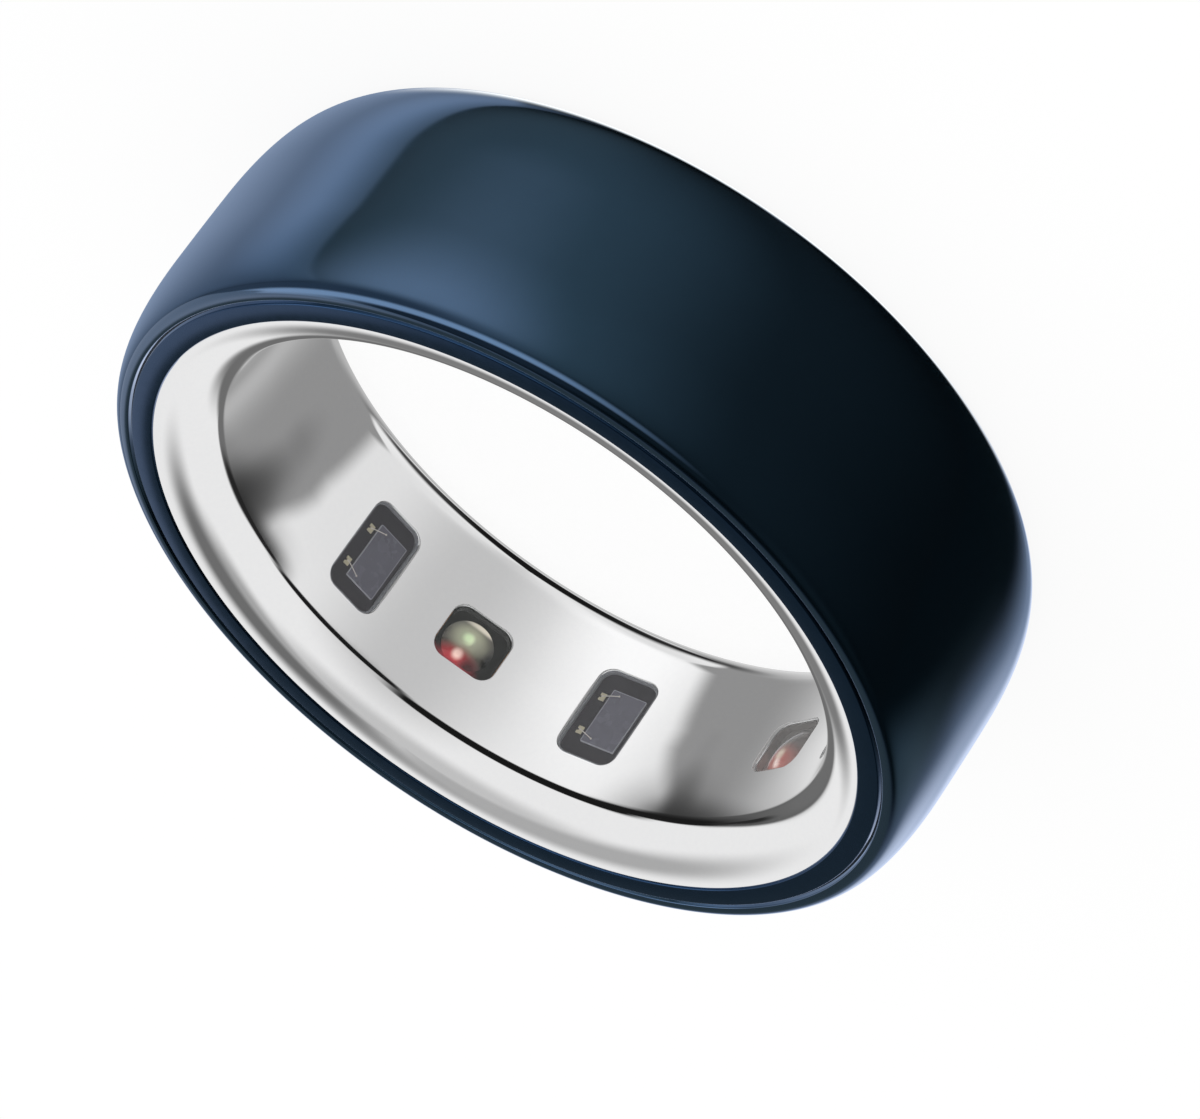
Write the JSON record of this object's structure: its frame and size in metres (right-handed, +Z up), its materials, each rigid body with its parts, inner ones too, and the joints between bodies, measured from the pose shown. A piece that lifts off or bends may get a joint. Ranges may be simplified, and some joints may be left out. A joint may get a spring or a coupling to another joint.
{
  "type": "smart ring",
  "caption": "Smart ring: a glossy dark blue band round a polished metal liner, with optical sensor windows that face the finger.",
  "frame": {"origin": "under the middle of the ring, on the surface that it lies on", "axes": "+Z up along the axis of the finger bore; the sensor windows lie on the +Y side of the bore"},
  "size_m": [0.0256, 0.0256, 0.0079],
  "materials": {
    "band_ceramic": "polished midnight blue ceramic",
    "casing_metal": "dark blue coated titanium, polished",
    "liner_metal": "mirror polished titanium",
    "bond_glue": "black bonding epoxy",
    "resin": "dark potting epoxy",
    "shield": "grey light shield",
    "package": "dark moulding compound",
    "photodiode": "photodiode silicon",
    "bond_pad": "gold plated pads",
    "bond_wire": "gold bond wires",
    "window_cover": "clear hard coated epoxy",
    "dome_lens": "clear silicone lens",
    "die_green": "green light source chip",
    "die_red": "red light source chip",
    "die_infrared": "infrared light source chip",
    "flex": "amber polyimide circuit",
    "chip_black": "black moulded chip",
    "crystal_can": "plated can",
    "inductor_core": "ferrite and epoxy",
    "capacitor": "tan ceramic",
    "resistor": "dark ceramic",
    "sensor_chip": "black moulded sensor",
    "copper": "bare copper",
    "cell_pouch": "aluminium laminate pouch",
    "yellow_tape": "yellow polyimide tape",
    "nickel": "nickel tab",
    "board_green": "green circuit board",
    "ferrite": "soft ferrite sheet"
  },
  "bodies": {
    "root": {"outer_band": "band_ceramic", "band_bond": "bond_glue", "casing_ring": "casing_metal", "inner_liner": "liner_metal", "potting_resin": "resin", "pd_shield_1": "shield", "pd_package_1": "package", "pd_die_1": "photodiode", "pd_bond_pads_1": "bond_pad", "pd_bond_wires_1": "bond_wire", "pd_window_1": "window_cover", "pd_shield_2": "shield", "pd_package_2": "package", "pd_die_2": "photodiode", "pd_bond_pads_2": "bond_pad", "pd_bond_wires_2": "bond_wire", "pd_window_2": "window_cover", "pd_shield_3": "shield", "pd_package_3": "package", "pd_die_3": "photodiode", "pd_bond_pads_3": "bond_pad", "pd_bond_wires_3": "bond_wire", "pd_window_3": "window_cover", "led_shield_1": "shield", "led_package_1": "package", "led_die_green_1": "die_green", "led_die_red_1": "die_red", "led_die_infrared_1": "die_infrared", "led_dome_1": "dome_lens", "led_window_1": "window_cover", "led_shield_2": "shield", "led_package_2": "package", "led_die_green_2": "die_green", "led_die_red_2": "die_red", "led_die_infrared_2": "die_infrared", "led_dome_2": "dome_lens", "led_window_2": "window_cover", "flex_circuit": "flex", "bluetooth_chip": "chip_black", "sensor_front_end": "chip_black", "power_chip": "chip_black", "motion_sensor": "chip_black", "memory_chip": "chip_black", "crystal": "crystal_can", "inductor": "inductor_core", "capacitors": "capacitor", "resistors": "resistor", "temperature_sensors": "sensor_chip", "antenna_strip": "copper", "battery_cell": "cell_pouch", "battery_tape": "yellow_tape", "battery_tab_positive": "nickel", "battery_tab_negative": "nickel", "protection_board": "board_green", "charging_coil": "copper", "coil_leads": "copper", "ferrite_sheet": "ferrite"}
  },
  "joints": []
}
